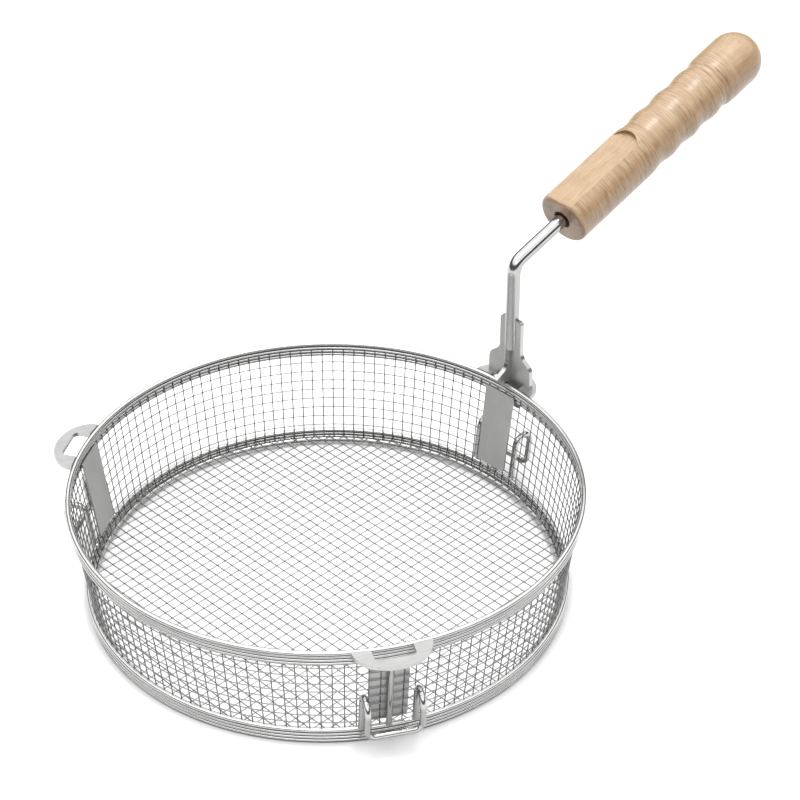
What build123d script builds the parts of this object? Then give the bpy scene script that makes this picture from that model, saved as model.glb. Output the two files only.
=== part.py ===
from build123d import *
import math
import os

# A round wire-mesh grill basket with a lift-off handle.
# Units are millimetres and degrees. +Z is up, the basket stands on Z = 0 with its
# centre on the Z axis, and +X points at the station that holds the handle.

# Rings of the basket
rim_ring_radius = 148.4       # centre line of the thick rim ring
rim_ring_height = 69.0
rim_wire_inset = 0.4          # thin rings under the rim, inwards of the thick ring
base_inset = 7.4              # thick base ring, inwards of the rim ring
base_wire_outset = 0.15       # thin rings under the base ring, outwards of it
ring_wire = 3.2               # diameter of the thick rings
thin_wire = 2.3               # diameter of the thin rings
thin_ring_count = 3

# Mesh of the wall and the floor
mesh_wire = 0.65
mesh_pitch = 6.27             # the uprights stand at least this far apart
lowest_hoop_height = 13.1
upright_top_gap = 3.6         # rim ring centre down to the top of the uprights
upright_bottom_height = 3.5
floor_edge_margin = 0.6       # floor wires end this far inside the wall wires

# Fittings that repeat at three stations round the basket
stations = {"handle": 0.0, "left": 121.3, "front": 240.6}    # angle round the basket
weld = 0.1                    # depth to which welded pieces melt into each other

plate_width = 22.5
plate_thickness = 1.0
plate_top_gap = 4.3           # rim ring centre down to the plate's top edge
plate_bottom_height = 12.6
plate_corner = 1.2

tab_outer_width = 6.8         # of metal outside the slot
tab_side_width = 10.8         # of metal at each end of the slot
tab_thickness = 2.6
slot_corner = 3.0

post_wire = 3.4
butt_weld = 0.3               # how far a wire's end melts into the ring it stands on

hook_wire = 3.7
hook_half_span = 15.2         # from the station's middle to each leg
hook_throat = 12.9            # between an inner and an outer leg
hook_loop_height = 37.2
hook_bar_height = 14.0
hook_bar_bend = 4.5

# Handle
fitting_thickness = 2.9
web_clearance = 0.55          # between the web and the rim ring's outer edge
tongue_half_width = 10.3
tongue_side_clearance = 1.2   # between the tongue and each side of the slot
tongue_outer_clearance = 2.85
tongue_length = 18.0
tongue_corner = 3.0
wing_rest = 5.5               # width of each shoulder that rests on the tab
wing_height = 13.3
wing_bend = 7.0
prong_width = 4.25
neck_height = 19.6
prong_height = 44.0
prong_corner = 2.5
web_thickness = 2.8
web_depth = 2.3               # how far the web stands in from the plate
web_drop = 6.6                # how far the web reaches down into the slot
nose_gap = 0.4                # between the nose and the top of the rim ring
nose_reach = 9.3              # how far the nose reaches in past the rim ring's outer edge
nose_tip_height = 5.0         # top of the tip above the tab's top
nose_tip_thickness = 1.5
nose_root_height = 10.4
nose_bend = 8.0
nose_flat = 4.2               # length of the nose's underside that lies over the rim ring

rod_diameter = 8.5
rod_start_height = 22.9       # above the tab's top
rod_corner_height = 81.9      # above the tab's top
rod_bend = 9.0
rod_reach = 43.5              # from the rod's corner to the grip's face
rod_insert = 60.0             # length of rod held in the grip
handle_tilt = 18.4

grip_length = 182.0
grip_radius = 17.3
grip_end_swell = 0.5
grip_face_round = 2.5
groove_count = 4
groove_end_gap = 17.4         # from the last groove to the domed end
groove_pitch = 20.2
groove_depth = 1.2
flat_depth = 3.0
flat_overlap = 2.0            # how far the flat runs into the first groove
flat_end_radius = 11.0
socket_clearance = 1.75       # round the rod
socket_depth = 5.0

# Sizes that follow from the ones above
rim_wire_radius = rim_ring_radius - rim_wire_inset
base_ring_radius = rim_ring_radius - base_inset
base_wire_radius = base_ring_radius + base_wire_outset
slot_half_width = tongue_half_width + tongue_side_clearance
fitting_setback = web_clearance + web_depth + fitting_thickness / 2
slot_depth = fitting_setback + fitting_thickness / 2 + tongue_outer_clearance
tab_half_width = slot_half_width + tab_side_width
wing_half_width = slot_half_width + wing_rest
neck_half_width = rod_diameter / 2 + prong_width
socket_diameter = rod_diameter + 2 * socket_clearance
flat_height = grip_radius - flat_depth
grip_end_radius = grip_radius + grip_end_swell
groove_end = grip_length - grip_end_radius - groove_end_gap
groove_start = groove_end - groove_count * groove_pitch
flat_length = groove_start + flat_overlap
ring_r = ring_wire / 2
tab_reach = ring_r + slot_depth + tab_outer_width
thin_r = thin_wire / 2
mesh_r = mesh_wire / 2
stack_step = thin_wire - weld
first_step = ring_r + thin_r - weld
base_ring_height = thin_r + (thin_ring_count - 1) * stack_step + first_step
rim_outer_radius = rim_ring_radius + ring_r
tab_top = rim_ring_height + ring_r

# As many level wires as fit under the lowest thin rim ring
hoop_limit = rim_ring_height - first_step - (thin_ring_count - 1) * stack_step - thin_r - mesh_r
hoop_count = int((hoop_limit - lowest_hoop_height) // mesh_pitch) + 1

# The wall wires lean so that they touch the base ring and the second thin rim ring
rim_touch_height = rim_ring_height - first_step - stack_step
rim_touch = thin_r + mesh_r - weld
base_touch = ring_r + mesh_r - weld
touch_rise = rim_touch_height - base_ring_height
touch_run = rim_wire_radius - base_ring_radius
lean = math.atan2(touch_run, touch_rise) + math.asin(
    (base_touch - rim_touch) / math.hypot(touch_run, touch_rise)
)
hoop_offset = mesh_wire - weld

# The floor ring lies inside the feet of the uprights
floor_ring_height = upright_bottom_height + mesh_r
floor_lower_height = floor_ring_height + thin_r + mesh_r - weld
floor_upper_height = floor_lower_height + mesh_wire - weld


def wall_radius(height, offset=0.0):
    """Radius of the upright wires' centre lines, or of a surface offset outwards from it."""
    foot = base_ring_radius - (base_touch - offset) / math.cos(lean)
    return foot + math.tan(lean) * (height - base_ring_height)


# As many uprights as fit round the wall's foot
upright_count = int(2 * math.pi * wall_radius(upright_bottom_height) // mesh_pitch)


def ring(radius, height, wire):
    """A closed ring of round wire, lying flat."""
    return Pos(0, 0, height) * Torus(radius, wire / 2)


def straight_wire(start, end, wire):
    """A straight round wire between two points."""
    run = Vector(*end) - Vector(*start)
    cylinder = Cylinder(wire / 2, run.length, align=(Align.CENTER, Align.CENTER, Align.MIN))
    return Plane(origin=start, z_dir=run) * cylinder


def bent_wire(points, bends, wire):
    """A round wire that follows straight runs joined by bends."""
    path = FilletPolyline(*points, radius=bends)
    section = Plane(origin=path @ 0, z_dir=path % 0) * Circle(wire / 2)
    return sweep(section, path=path)


def solid_outline(points, radii, plane, thickness):
    """A flat plate: a closed outline with rounded corners, centred on a plane."""
    outline = plane * make_face(FilletPolyline(*points, radius=radii, close=True))
    return extrude(outline, amount=thickness / 2, both=True)


def side_uprights():
    """The wall's upright wires, evenly spaced, with none behind the handle's post."""
    bottom = upright_bottom_height
    top = rim_ring_height - upright_top_gap
    wire = straight_wire((wall_radius(bottom), 0, bottom), (wall_radius(top), 0, top), mesh_wire)
    return [Rot(0, 0, (i + 0.5) * 360 / upright_count) * wire for i in range(upright_count)]


def side_hoops():
    """The wall's level wires, welded to the outside of the uprights."""
    heights = [lowest_hoop_height + i * mesh_pitch for i in range(hoop_count)]
    return [ring(wall_radius(z, hoop_offset), z, mesh_wire) for z in heights]


def floor_wires(height, turn):
    """One layer of the floor mesh: parallel wires cut to the round floor."""
    edge = wall_radius(height) - mesh_r - floor_edge_margin
    steps = int(edge // mesh_pitch)
    wires = []
    for i in range(-steps, steps + 1):
        y = i * mesh_pitch
        half = math.sqrt(edge**2 - y**2)
        wire = straight_wire((-half, y, height), (half, y, height), mesh_wire)
        wires.append(Rot(0, 0, turn) * wire)
    return wires


def inner_plate():
    """A sheet strip rolled to the wall, welded to the inside of the uprights."""
    low = plate_bottom_height
    high = rim_ring_height - plate_top_gap
    outer = -(mesh_r - weld)
    inner = outer - plate_thickness
    corners = [(wall_radius(z, off), 0, z) for z, off in
               ((low, outer), (high, outer), (high, inner), (low, inner))]
    section = make_face(Polyline(*corners, close=True))
    arc = math.degrees(plate_width / wall_radius((low + high) / 2, inner))
    strip = Rot(0, 0, -arc / 2) * revolve(section, axis=Axis.Z, revolution_arc=arc)
    corner_edges = strip.edges().filter_by(lambda edge: edge.length < 1.5 * plate_thickness)
    return fillet(corner_edges, plate_corner)


def tab():
    """A half-oval tab with a slot, welded to the outside of the rim ring."""
    oval = Pos(rim_ring_radius, 0) * Ellipse(tab_reach, tab_half_width)
    slot_end = rim_outer_radius + slot_depth
    inward = (Align.MAX, Align.CENTER)
    slot = Pos(slot_end, 0) * Rectangle(2 * slot_depth, 2 * slot_half_width, align=inward)
    slot = fillet(slot.vertices().group_by(Axis.X)[-1], slot_corner)
    outline = oval - slot - Circle(rim_outer_radius - butt_weld)
    return Pos(0, 0, tab_top - tab_thickness) * extrude(outline, amount=tab_thickness)


def post():
    """A straight wire up the outside of the wall, from the base ring to the rim's lowest ring."""
    offset = hoop_offset + mesh_r + post_wire / 2 - weld
    low = base_ring_height + ring_r - butt_weld
    high = rim_touch_height - stack_step - thin_r + butt_weld
    foot = (wall_radius(low, offset), 0, low)
    head = (wall_radius(high, offset), 0, high)
    return straight_wire(foot, head, post_wire)


def hook():
    """A double hook bent from one wire: two legs on the wall, two loops and a cross bar."""
    offset = hoop_offset + mesh_r + hook_wire / 2 - weld

    def leg(height):
        return math.sqrt(wall_radius(height, offset) ** 2 - hook_half_span**2)

    low = base_ring_height + ring_r - butt_weld
    half = [
        (leg(low), low),
        (leg(hook_loop_height), hook_loop_height),
        (leg(hook_loop_height) + hook_throat, hook_loop_height),
        (leg(hook_bar_height) + hook_throat, hook_bar_height),
    ]
    points = [(x, -hook_half_span, z) for x, z in half]
    points += [(x, hook_half_span, z) for x, z in reversed(half)]
    loop_bend = hook_throat / 2 - weld
    half_bends = [loop_bend, loop_bend, hook_bar_bend]
    return bent_wire(points, half_bends + half_bends[::-1], hook_wire)


def fitting_plate():
    """The handle's flat plate: a tongue for the slot, shoulders that rest on the tab, two prongs."""
    notch = rod_diameter / 2 - weld
    side = [
        (tongue_half_width, tab_top - tongue_length, tongue_corner),
        (tongue_half_width, tab_top, 0),
        (wing_half_width, tab_top, 0),
        (wing_half_width, tab_top + wing_height, wing_bend),
        (neck_half_width, tab_top + neck_height, wing_bend),
        (neck_half_width, tab_top + prong_height, prong_corner),
        (notch, tab_top + prong_height, 0),
        (notch, tab_top + rod_start_height + weld, 0),
    ]
    points = [(y, z) for y, z, _ in side] + [(-y, z) for y, z, _ in reversed(side)]
    radii = [r for _, _, r in side] + [r for _, _, r in reversed(side)]
    plane = Plane(origin=(rim_outer_radius + fitting_setback, 0, 0), x_dir=(0, 1, 0), z_dir=(1, 0, 0))
    return solid_outline(points, radii, plane, fitting_thickness)


def fitting_web():
    """The cross plate welded to the fitting plate, with a nose that reaches over the rim ring."""
    back = rim_outer_radius + fitting_setback - fitting_thickness / 2 + weld
    front = back - weld - web_depth
    nose_bottom = tab_top + nose_gap
    tip = rim_outer_radius - nose_reach
    points = [
        (back, tab_top - web_drop),
        (back, tab_top + rod_start_height + weld),
        (front, tab_top + rod_start_height + weld),
        (front, tab_top + nose_root_height),
        (tip, tab_top + nose_tip_height),
        (tip, tab_top + nose_tip_height - nose_tip_thickness),
        (rim_outer_radius - nose_flat, nose_bottom),
        (front, nose_bottom),
        (front, tab_top - web_drop),
    ]
    plane = Plane(origin=(0, 0, 0), x_dir=(1, 0, 0), z_dir=(0, -1, 0))
    return solid_outline(points, [0, 0, 0, nose_bend, 0, 0, 0, 0, 0], plane, web_thickness)


# The rod's corner and the grip's axis
rod_x = rim_outer_radius + fitting_setback
rod_corner = Vector(rod_x, 0, tab_top + rod_corner_height)
handle_direction = Vector(math.cos(math.radians(handle_tilt)), 0, math.sin(math.radians(handle_tilt)))
grip_face = rod_corner + handle_direction * rod_reach


def handle_rod():
    """The round rod: up from the fitting, one bend, then out into the grip."""
    start = (rod_x, 0, tab_top + rod_start_height)
    end = rod_corner + handle_direction * (rod_reach + rod_insert)
    return bent_wire([start, rod_corner, end], rod_bend, rod_diameter)


def grip():
    """The turned wooden grip, with finger grooves, a flat on top and a bore for the rod."""
    crests = [(groove_start + i * groove_pitch, grip_radius) for i in range(1, groove_count)]
    dip_places = [groove_start + (i + 0.5) * groove_pitch for i in range(groove_count)]
    dips = [(x, grip_radius - groove_depth) for x in dip_places]
    waves = Spline(
        (groove_start, grip_radius),
        *sorted(crests + dips),
        (groove_end, grip_end_radius),
        tangents=[(1, 0), (1, 0)],
    )
    dome_x = grip_length - grip_end_radius
    profile = [
        Line((0, 0), (0, grip_radius)),
        Line((0, grip_radius), (groove_start, grip_radius)),
        waves,
        Line((groove_end, grip_end_radius), (dome_x, grip_end_radius)),
        CenterArc((dome_x, 0), grip_end_radius, 0, 90),
        Line((grip_length, 0), (0, 0)),
    ]
    body = revolve(make_face(profile), axis=Axis.X)
    flat_tool_x = flat_length - flat_end_radius
    tool_height = grip_radius
    low = (Align.CENTER, Align.CENTER, Align.MIN)
    body -= Pos(0, 0, flat_height) * Box(2 * flat_tool_x, 2 * grip_radius, tool_height, align=low)
    body -= Pos(flat_tool_x, 0, flat_height) * Cylinder(flat_end_radius, tool_height, align=low)
    body = fillet(body.faces().sort_by(Axis.X)[0].edges(), grip_face_round)
    along = Rot(0, 90, 0)
    body -= along * Cylinder(rod_diameter / 2, rod_insert, align=low)
    body -= along * Cylinder(socket_diameter / 2, socket_depth, align=low)
    return Pos(*grip_face) * Rot(0, -handle_tilt, 0) * body


def thin_rings(name, radius, top_height):
    """A stack of thin rings hanging from the given height, numbered from the top."""
    return {
        f"{name}_wire_{i + 1}": ring(radius, top_height - i * stack_step, thin_wire)
        for i in range(thin_ring_count)
    }


def build_nodes():
    floor_radius = wall_radius(floor_ring_height, -(mesh_r + thin_r - weld))
    nodes = {
        "rim_ring": ring(rim_ring_radius, rim_ring_height, ring_wire),
        "base_ring": ring(base_ring_radius, base_ring_height, ring_wire),
        "side_uprights": side_uprights(),
        "side_hoops": side_hoops(),
        "floor_ring": ring(floor_radius, floor_ring_height, thin_wire),
        "floor_wires_lower": floor_wires(floor_lower_height, 0),
        "floor_wires_upper": floor_wires(floor_upper_height, 90),
        "fitting_plate": fitting_plate(),
        "fitting_web": fitting_web(),
        "handle_rod": handle_rod(),
        "grip": grip(),
    }
    nodes |= thin_rings("rim", rim_wire_radius, rim_ring_height - first_step)
    nodes |= thin_rings("base", base_wire_radius, base_ring_height - first_step)
    station_parts = {"plate": inner_plate(), "tab": tab(), "post": post(), "hook": hook()}
    for station, angle in stations.items():
        turn = Rot(0, 0, angle)
        for name, shape in station_parts.items():
            nodes[f"{station}_{name}"] = turn * shape
    return nodes


os.makedirs("parts", exist_ok=True)
for node, shape in build_nodes().items():
    export_step(Compound(shape) if isinstance(shape, list) else shape, f"parts/{node}.step")
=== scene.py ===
import math

import bmesh
import bpy
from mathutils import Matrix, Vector


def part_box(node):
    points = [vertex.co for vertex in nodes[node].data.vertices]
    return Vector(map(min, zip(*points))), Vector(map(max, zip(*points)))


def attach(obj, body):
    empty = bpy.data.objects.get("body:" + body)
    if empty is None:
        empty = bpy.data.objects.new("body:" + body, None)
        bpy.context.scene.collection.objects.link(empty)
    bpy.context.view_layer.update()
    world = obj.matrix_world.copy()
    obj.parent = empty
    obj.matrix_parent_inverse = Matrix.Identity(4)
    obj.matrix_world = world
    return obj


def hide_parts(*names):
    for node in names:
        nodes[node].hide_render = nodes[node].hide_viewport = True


# Looks for the wire grill basket: steel and beech materials, weld beads, floor, light and camera.
# Everything is in metres, in the frame of the CAD part: +X runs along the handle, +Z is up.

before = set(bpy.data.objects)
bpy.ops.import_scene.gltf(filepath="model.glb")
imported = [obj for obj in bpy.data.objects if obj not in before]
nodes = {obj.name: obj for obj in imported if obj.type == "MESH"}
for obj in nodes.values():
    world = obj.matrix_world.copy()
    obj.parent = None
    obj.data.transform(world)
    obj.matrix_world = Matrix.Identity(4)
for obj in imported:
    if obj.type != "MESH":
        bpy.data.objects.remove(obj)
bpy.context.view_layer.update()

# Camera
CAMERA_PLACE = (-0.7243, -0.8031, 0.8740)
CAMERA_HEADING = 45.7         # degrees from +X
CAMERA_DOWN = 34.6            # degrees below the horizon
CAMERA_LENS = 105.0           # on a sensor 36 mm wide
SENSOR = 36.0

# Grip: the grain follows its axis, and lengths run along it from its end face
GRIP_TILT = 18.4              # degrees above the horizon
GRIP_FACE = (0.19558, 0.0, 0.16623)
GRIP_DOME = (0.146, 0.158)    # where the turned grain gives way to the end's long grain
GRIP_FLAT = (0.01405, 0.01425)    # height above the axis, just under the flat's face
GRIP_FLAT_END = (0.0665, 0.069)

STATIONS = {"handle": 0.0, "left": 121.3, "front": 240.6}    # angle round the basket

# Turned rings: faces round the ring and round its wire
RING_FACES = 540
WIRE_FACES = 28

# Weld beads
HOOK_WIRE_RADIUS = 0.00185
FOOT_BEAD = (0.0019, 0.0019, 0.0008)
FOOT_BEAD_SINK = 0.0002
ROD_BEAD = (0.0009, 0.0010, 0.0014)
ROD_BEAD_SINK = 0.0001
ROD_BEAD_COUNT = 9
ROD_BEAD_STEP = 0.0021
ROD_BEAD_START = 0.002        # above the rod's lower end
ROD_SEAM = 0.0042             # the seam's distance from the rod's middle

FLOOR_HALF = 6.0
FLOOR_HEIGHT = -0.0002


class Graph:
    """A material's node graph, with short calls for the nodes used here."""

    def __init__(self, name):
        self.material = bpy.data.materials.new(name)
        self.material.use_nodes = True
        self.tree = self.material.node_tree
        self.shader = self.tree.nodes["Principled BSDF"]

    def node(self, kind, **values):
        made = self.tree.nodes.new(kind)
        for name, value in values.items():
            setattr(made, name, value)
        return made

    def link(self, source, target):
        self.tree.links.new(source, target)

    def coordinates(self, scale=(1, 1, 1), turn=(0, 0, 0), origin=(0, 0, 0)):
        """Row-frame coordinates, moved to an origin, turned and scaled."""
        place = self.node("ShaderNodeTexCoord").outputs["Object"]
        move = self.node("ShaderNodeVectorMath", operation="SUBTRACT")
        self.link(place, move.inputs[0])
        move.inputs[1].default_value = origin
        rotate = self.node("ShaderNodeVectorRotate", rotation_type="EULER_XYZ")
        self.link(move.outputs[0], rotate.inputs["Vector"])
        rotate.inputs["Rotation"].default_value = turn
        stretch = self.node("ShaderNodeVectorMath", operation="MULTIPLY")
        self.link(rotate.outputs[0], stretch.inputs[0])
        stretch.inputs[1].default_value = scale
        return stretch.outputs[0]

    def noise(self, vector, detail=3.0, roughness=0.5, distortion=0.0):
        made = self.node("ShaderNodeTexNoise")
        self.link(vector, made.inputs["Vector"])
        made.inputs["Scale"].default_value = 1.0
        made.inputs["Detail"].default_value = detail
        made.inputs["Roughness"].default_value = roughness
        made.inputs["Distortion"].default_value = distortion
        return made.outputs["Fac"]

    def ramp(self, value, stops):
        """A colour ramp through (position, colour) stops."""
        made = self.node("ShaderNodeValToRGB")
        self.link(value, made.inputs["Fac"])
        elements = made.color_ramp.elements
        while len(elements) < len(stops):
            elements.new(0.5)
        for element, (position, colour) in zip(elements, stops):
            element.position = position
            element.color = (*colour, 1.0)
        return made.outputs["Color"]

    def span(self, value, low, high, to_low=0.0, to_high=1.0, smooth=False):
        made = self.node("ShaderNodeMapRange", interpolation_type="SMOOTHSTEP" if smooth else "LINEAR")
        self.link(value, made.inputs["Value"])
        made.inputs["From Min"].default_value = low
        made.inputs["From Max"].default_value = high
        made.inputs["To Min"].default_value = to_low
        made.inputs["To Max"].default_value = to_high
        return made.outputs["Result"]

    def math(self, operation, first, second):
        made = self.node("ShaderNodeMath", operation=operation)
        for value, socket in ((first, made.inputs[0]), (second, made.inputs[1])):
            if isinstance(value, (int, float)):
                socket.default_value = value
            else:
                self.link(value, socket)
        return made.outputs[0]

    def mix(self, factor, first, second, blend="MIX"):
        made = self.node("ShaderNodeMix", data_type="RGBA", blend_type=blend)
        sockets = (made.inputs["Factor"], made.inputs[6], made.inputs[7])
        for value, socket in zip((factor, first, second), sockets):
            if isinstance(value, (int, float)):
                socket.default_value = value
            elif isinstance(value, tuple):
                socket.default_value = (*value, 1.0)
            else:
                self.link(value, socket)
        return made.outputs[2]

    def bump(self, height, strength, distance):
        made = self.node("ShaderNodeBump")
        made.inputs["Strength"].default_value = strength
        made.inputs["Distance"].default_value = distance
        self.link(height, made.inputs["Height"])
        self.link(made.outputs["Normal"], self.shader.inputs["Normal"])

    def facing_up(self):
        """How far the surface faces up: 0 straight down, 0.5 level, 1 straight up."""
        split = self.node("ShaderNodeSeparateXYZ")
        self.link(self.node("ShaderNodeTexCoord").outputs["Normal"], split.inputs[0])
        return self.span(split.outputs[2], -1.0, 1.0)

    def set(self, **values):
        """Sets constants on the shader's own sockets: metallic, roughness and so on."""
        names = {"ior": "IOR", "specular": "Specular IOR Level", "coat": "Coat Weight",
                 "coat_roughness": "Coat Roughness"}
        for name, value in values.items():
            self.shader.inputs[names.get(name, name.title())].default_value = value


def grey(value):
    return (value, value * 0.995, value * 0.985)


def polished_steel(name, tone, under, roughness):
    """Polished round bar, bright on top, with painted shade on its under side (a darker base colour where
    it faces down), and faint cloudiness.
    """
    g = Graph(name)
    g.set(metallic=1.0)
    cloud = g.noise(g.coordinates(scale=(90, 90, 90)), detail=4)
    fine = g.noise(g.coordinates(scale=(500, 500, 500)), detail=2)
    # Painted shade: the base colour steps down from tone to the under tone, then to half of that, as the
    # surface turns to face down.
    stops = [(0.3, grey(under * 0.5)), (0.50, grey(under)), (0.62, grey(tone))]
    body = g.ramp(g.facing_up(), stops)
    shade = g.ramp(cloud, [(0.3, (0.9, 0.9, 0.9)), (0.7, (1.0, 1.0, 1.0))])
    g.link(g.mix(1.0, body, shade, "MULTIPLY"), g.shader.inputs["Base Color"])
    g.link(g.span(cloud, 0.3, 0.7, roughness * 0.8, roughness * 1.3), g.shader.inputs["Roughness"])
    g.bump(fine, 0.05, 0.0002)
    return g.material


def drawn_wire(name, tone, roughness):
    """Thin mesh wire: duller, with small tone changes along each wire."""
    g = Graph(name)
    g.set(metallic=1.0)
    patch = g.noise(g.coordinates(scale=(260, 260, 260)), detail=3)
    stops = [(0.3, grey(tone * 0.72)), (0.7, grey(tone * 1.15))]
    g.link(g.ramp(patch, stops), g.shader.inputs["Base Color"])
    g.link(g.span(patch, 0.3, 0.7, roughness * 0.8, roughness * 1.25), g.shader.inputs["Roughness"])
    g.bump(g.noise(g.coordinates(scale=(2500, 2500, 2500))), 0.08, 0.0001)
    return g.material


def brushed_sheet(name, tone, roughness, turn, scale, contrast=0.1, metallic=1.0):
    """Brushed sheet steel: fine streaks along one direction over soft cloudy tone."""
    g = Graph(name)
    g.set(metallic=metallic)
    streaks = g.noise(g.coordinates(scale=scale, turn=turn), detail=6, roughness=0.65)
    cloud = g.noise(g.coordinates(scale=(70, 70, 45)), detail=3, distortion=0.6)
    base = g.ramp(streaks, [(0.25, grey(tone * (1 - contrast))), (0.75, grey(tone * (1 + contrast)))])
    shade = g.ramp(cloud, [(0.25, (0.86, 0.86, 0.86)), (0.75, (1.0, 1.0, 1.0))])
    g.link(g.mix(1.0, base, shade, "MULTIPLY"), g.shader.inputs["Base Color"])
    g.link(g.span(streaks, 0.2, 0.8, roughness * 0.85, roughness * 1.2), g.shader.inputs["Roughness"])
    g.bump(streaks, 0.12, 0.0002)
    return g.material


def cut_sheet(name, tone, lit_edge_tone, roughness, flat_axis, lit_edge_axis):
    """Thick cut sheet: brushed faces, and cut edges with painted light: a painted highlight on edges that
    face one axis, painted shade on the others.
    """
    g = Graph(name)
    g.set(metallic=0.85)
    streaks = g.noise(g.coordinates(scale=(700, 700, 60)), detail=6, roughness=0.65)
    cloud = g.noise(g.coordinates(scale=(110, 110, 80)), detail=3, distortion=0.8)
    split = g.node("ShaderNodeSeparateXYZ")
    g.link(g.node("ShaderNodeTexCoord").outputs["Normal"], split.inputs[0])
    face = g.span(g.math("ABSOLUTE", split.outputs[flat_axis], 0.0), 0.5, 0.9, smooth=True)
    # Mask for the painted highlight: cut edges that face the lit axis.
    bright = g.span(g.math("ABSOLUTE", split.outputs[lit_edge_axis], 0.0), 0.35, 0.8, smooth=True)
    base = g.ramp(streaks, [(0.25, grey(tone * 0.9)), (0.75, grey(tone * 1.1))])
    shade = g.ramp(cloud, [(0.25, (0.82, 0.82, 0.82)), (0.75, (1.0, 1.0, 1.0))])
    base = g.mix(1.0, base, shade, "MULTIPLY")
    # Painted highlight on the lit edges, painted shade (0.55 of the face tone) on the other edges.
    edge = g.mix(bright, grey(tone * 0.55), grey(lit_edge_tone))
    g.link(g.mix(face, edge, base), g.shader.inputs["Base Color"])
    g.link(g.span(face, 0.0, 1.0, roughness * 0.5, roughness), g.shader.inputs["Roughness"])
    g.bump(streaks, 0.1, 0.0002)
    return g.material


def beech(name):
    """Turned beech, oiled: fine lines round the grip, streaks along its rounded end, small pores, and
    painted shade on its under side.
    """
    g = Graph(name)
    g.set(specular=0.5, coat=0.6, coat_roughness=0.32)
    tilt = math.radians(GRIP_TILT)
    place = {"turn": (0, tilt, 0), "origin": GRIP_FACE}
    split = g.node("ShaderNodeSeparateXYZ")
    g.link(g.coordinates(**place), split.inputs[0])
    rounds = g.noise(g.coordinates((1150, 45, 60), **place), detail=6, roughness=0.6, distortion=1.2)
    broad = g.noise(g.coordinates((120, 30, 40), **place), detail=3, distortion=1.6)
    streaks = g.noise(g.coordinates((60, 620, 620), **place), detail=6, roughness=0.62, distortion=1.2)
    pores = g.noise(g.coordinates((900, 2400, 2400), **place), detail=2)
    end = g.span(split.outputs[0], *GRIP_DOME, smooth=True)
    high = g.span(split.outputs[2], *GRIP_FLAT, smooth=True)
    before_end = g.span(split.outputs[0], *GRIP_FLAT_END, 1.0, 0.0, smooth=True)
    flat = g.math("MULTIPLY", high, before_end)
    lengthwise = g.math("MAXIMUM", end, flat)
    weave = g.mix(lengthwise, rounds, g.span(streaks, 0.25, 0.75, 0.39, 0.65))
    tones = [
        (0.32, (0.165, 0.093, 0.040)),
        (0.43, (0.315, 0.200, 0.106)),
        (0.52, (0.395, 0.266, 0.152)),
        (0.68, (0.465, 0.330, 0.202)),
    ]
    wash = g.ramp(broad, [(0.3, (0.93, 0.91, 0.88)), (0.7, (1.0, 1.0, 1.0))])
    speck = g.ramp(pores, [(0.27, (0.66, 0.58, 0.48)), (0.37, (1.0, 1.0, 1.0))])
    body = g.mix(1.0, g.mix(1.0, g.ramp(weave, tones), wash, "MULTIPLY"), speck, "MULTIPLY")
    # Painted shade: the wood's colour darkens as the surface turns to face down.
    painted_under_shades = [(0.2, (0.46, 0.40, 0.34)), (0.55, (0.74, 0.70, 0.65)), (0.85, (1.0, 1.0, 1.0))]
    under = g.ramp(g.facing_up(), painted_under_shades)
    body = g.mix(1.0, body, under, "MULTIPLY")
    face = g.span(split.outputs[0], 0.0, 0.0012, 1.0, 0.0)
    dark = g.mix(1.0, body, (0.92, 0.86, 0.78), "MULTIPLY")
    g.link(g.mix(face, body, dark), g.shader.inputs["Base Color"])
    g.link(g.span(weave, 0.3, 0.7, 0.50, 0.34), g.shader.inputs["Roughness"])
    g.bump(weave, 0.2, 0.0005)
    return g.material


def floor_finish():
    """A plain pale studio floor with barely visible unevenness."""
    g = Graph("floor_finish")
    g.set(roughness=0.7, specular=0.15)
    cloud = g.noise(g.coordinates(scale=(2, 2, 2)))
    tones = [(0.3, (0.90, 0.90, 0.90)), (0.7, (0.915, 0.915, 0.915))]
    g.link(g.ramp(cloud, tones), g.shader.inputs["Base Color"])
    return g.material


def dress(node, material):
    """Gives a CAD node its finish."""
    shown = nodes[node]
    shown.data.materials.clear()
    shown.data.materials.append(material)


def new_piece(name, bm, material, body):
    """A new smooth mesh object that rides on a body."""
    for face in bm.faces:
        face.smooth = True
    mesh = bpy.data.meshes.new(name)
    bm.to_mesh(mesh)
    bm.free()
    mesh.materials.append(material)
    piece = bpy.data.objects.new(name, mesh)
    bpy.context.scene.collection.objects.link(piece)
    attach(piece, body)
    return piece


def round_ring(node, material):
    """An evenly turned wire ring in place of the CAD ring, fine enough for clean reflections."""
    low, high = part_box(node)
    wire = (high.z - low.z) / 2
    radius = (high.x - low.x) / 2 - wire
    middle = (low + high) / 2
    bm = bmesh.new()
    rows = []
    for i in range(RING_FACES):
        turn = 2 * math.pi * i / RING_FACES
        row = []
        for j in range(WIRE_FACES):
            side = 2 * math.pi * j / WIRE_FACES
            reach = radius + wire * math.cos(side)
            height = middle.z + wire * math.sin(side)
            place = (reach * math.cos(turn), reach * math.sin(turn), height)
            row.append(bm.verts.new(place))
        rows.append(row)
    for i in range(RING_FACES):
        for j in range(WIRE_FACES):
            here, after = rows[i], rows[(i + 1) % RING_FACES]
            k = (j + 1) % WIRE_FACES
            bm.faces.new((here[j], after[j], after[k], here[k]))
    piece = new_piece("turned_" + node, bm, material, "basket")
    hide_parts(node)


def bead(bm, centre, size, seed):
    """One weld bead: a low, uneven lump."""
    made = bmesh.ops.create_icosphere(bm, subdivisions=3, radius=1.0)
    for vertex in made["verts"]:
        p = vertex.co
        wave = math.sin(3.1 * p.x + 2.3 * p.y + seed)
        cross = math.cos(2.7 * p.z - 1.3 * p.x + 2 * seed)
        lump = 1 + 0.14 * wave * cross
        vertex.co = Vector(centre) + Vector((p.x * size[0], p.y * size[1], p.z * size[2])) * lump


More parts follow.
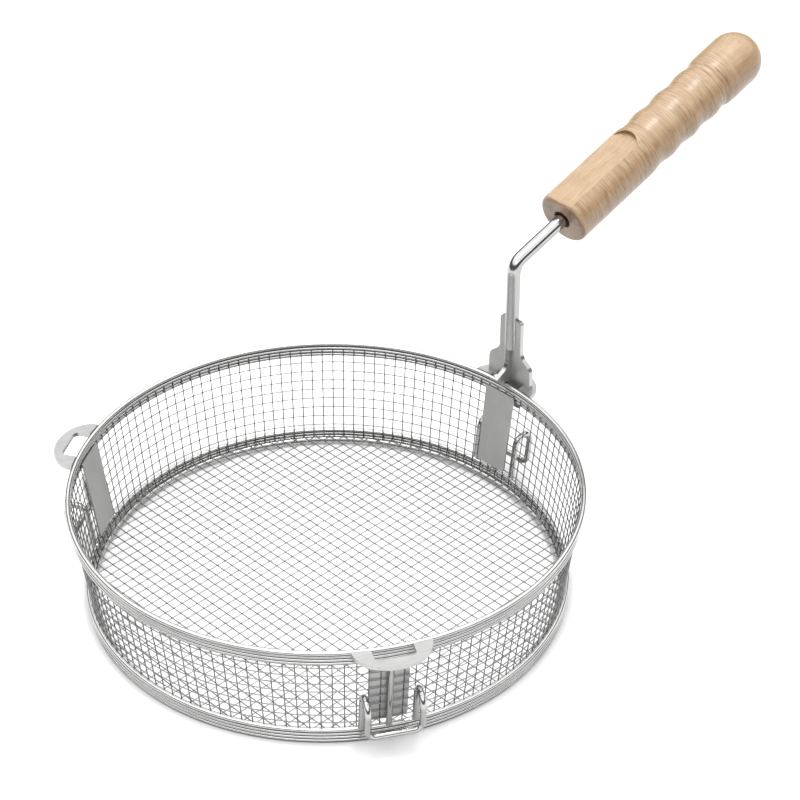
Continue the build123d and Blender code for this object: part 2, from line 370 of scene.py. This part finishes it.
def weld_beads(material):
    """Weld beads where posts and hooks stand on the base ring, and where the rod meets its plate."""
    ring_low, ring_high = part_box("base_ring")
    ring_wire = (ring_high.z - ring_low.z) / 2
    ring_radius = (ring_high.x - ring_low.x) / 2 - ring_wire
    bead_height = ring_high.z - FOOT_BEAD_SINK
    hook_low, hook_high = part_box("handle_hook")
    hook_span = (hook_high.y - hook_low.y) / 2 - HOOK_WIRE_RADIUS
    for station, angle in STATIONS.items():
        bm = bmesh.new()
        for i, v in enumerate((-hook_span, 0.0, hook_span)):
            turn = math.radians(angle) + v / ring_radius
            centre = (ring_radius * math.cos(turn), ring_radius * math.sin(turn), bead_height)
            bead(bm, centre, FOOT_BEAD, i + angle)
        new_piece("weld_beads_" + station, bm, material, "basket")
    plate_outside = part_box("fitting_plate")[1].x - ROD_BEAD_SINK
    seam_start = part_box("handle_rod")[0].z + ROD_BEAD_START
    bm = bmesh.new()
    for side in (-1, 1):
        for i in range(ROD_BEAD_COUNT):
            centre = (plate_outside, side * ROD_SEAM, seam_start + i * ROD_BEAD_STEP)
            bead(bm, centre, ROD_BEAD, i + 3 * side)
    new_piece("weld_beads_rod", bm, material, "handle")


def dress_all():
    """Gives every node its finish, then adds the turned rings and the weld beads."""
    # polished_steel(name, tone, under, roughness): under is the tone of the painted shade on the under
    # side.
    ring_steel = polished_steel("ring_steel", 0.64, 0.17, 0.2)
    hook_steel = polished_steel("hook_steel", 0.52, 0.42, 0.18)
    rod_steel = polished_steel("rod_steel", 0.48, 0.40, 0.14)
    # One wire steel given a separate tone for each set of wires: the tones are painted light and shade,
    # darkest on the uprights.
    upright_wire = drawn_wire("upright_wire", 0.13, 0.36)
    hoop_wire = drawn_wire("hoop_wire", 0.28, 0.36)
    lower_wire = drawn_wire("lower_wire", 0.34, 0.36)
    upper_wire = drawn_wire("upper_wire", 0.22, 0.36)
    strip_steel = brushed_sheet("strip_steel", 0.44, 0.45, (0, 0, 0), (500, 500, 40), 0.08, 0.75)
    slant = math.radians(20)
    tab_steel = brushed_sheet("tab_steel", 0.46, 0.3, (0, 0, slant), (60, 900, 300), 0.14, 0.9)
    finishes = {
        "side_uprights": upright_wire,
        "side_hoops": hoop_wire,
        "floor_wires_lower": lower_wire,
        "floor_wires_upper": upper_wire,
        "fitting_plate": cut_sheet("fitting_steel", 0.46, 0.46, 0.4, "X", "Y"),
        "fitting_web": cut_sheet("web_steel", 0.40, 0.50, 0.4, "Y", "Z"),
        "handle_rod": rod_steel,
        "grip": beech("beech_grip"),
    }
    by_ending = {"plate": strip_steel, "tab": tab_steel, "post": hook_steel, "hook": hook_steel}
    for node in nodes:
        dress(node, finishes.get(node) or by_ending.get(node.split("_")[-1], ring_steel))
    for node in list(nodes):
        if node.startswith(("rim_", "base_")) or node == "floor_ring":
            round_ring(node, ring_steel)
    weld_beads(hook_steel)


def add_floor():
    mesh = bpy.data.meshes.new("floor")
    corners = [(-1, -1), (1, -1), (1, 1), (-1, 1)]
    places = [(x * FLOOR_HALF, y * FLOOR_HALF, 0) for x, y in corners]
    mesh.from_pydata(places, [], [(0, 1, 2, 3)])
    floor = bpy.data.objects.new("floor", mesh)
    floor.location = (0, 0, FLOOR_HEIGHT)
    bpy.context.scene.collection.objects.link(floor)
    mesh.materials.append(floor_finish())


def add_light(name, place, aim, size, watts):
    data = bpy.data.lights.new(name, "AREA")
    data.shape = "RECTANGLE"
    data.size, data.size_y = size
    data.energy = watts
    light = bpy.data.objects.new(name, data)
    light.location = place
    light.rotation_euler = (Vector(aim) - Vector(place)).to_track_quat("-Z", "Y").to_euler()
    bpy.context.scene.collection.objects.link(light)


def add_studio():
    """An even bright room: a pale ceiling over darker walls, which draw the dark lines on round steel."""
    world = bpy.data.worlds.new("studio")
    bpy.context.scene.world = world
    world.use_nodes = True
    tree = world.node_tree
    background = tree.nodes["Background"]
    split = tree.nodes.new("ShaderNodeSeparateXYZ")
    ramp = tree.nodes.new("ShaderNodeValToRGB")
    tree.links.new(tree.nodes.new("ShaderNodeTexCoord").outputs["Generated"], split.inputs[0])
    tree.links.new(split.outputs["Z"], ramp.inputs["Fac"])
    tree.links.new(ramp.outputs["Color"], background.inputs["Color"])
    stops = [(0.0, 0.3), (0.03, 0.07), (0.44, 0.07), (0.53, 1.0), (1.0, 1.0)]
    elements = ramp.color_ramp.elements
    while len(elements) < len(stops):
        elements.new(0.5)
    for element, (position, value) in zip(elements, stops):
        element.position = position
        element.color = (value, value, value, 1.0)
    background.inputs["Strength"].default_value = 1.8
    add_light("key", (-0.5, 0.3, 2.2), (0.1, 0, 0.05), (1.6, 1.6), 10)
    add_light("fill", (-1.4, -1.2, 1.6), (0.0, 0, 0.05), (1.4, 1.0), 3)
    add_light("glint", (0.33, -0.08, 2.0), (0.27, 0, 0.2), (0.4, 0.4), 12)
    bpy.context.scene.view_settings.view_transform = "Standard"


def add_camera():
    data = bpy.data.cameras.new("camera")
    data.lens = CAMERA_LENS
    data.sensor_width = SENSOR
    data.clip_end = 50
    camera = bpy.data.objects.new("camera", data)
    camera.location = CAMERA_PLACE
    camera.rotation_euler = (math.radians(90 - CAMERA_DOWN), 0, math.radians(CAMERA_HEADING - 90))
    bpy.context.scene.collection.objects.link(camera)
    bpy.context.scene.camera = camera


dress_all()
add_floor()
add_studio()
add_camera()
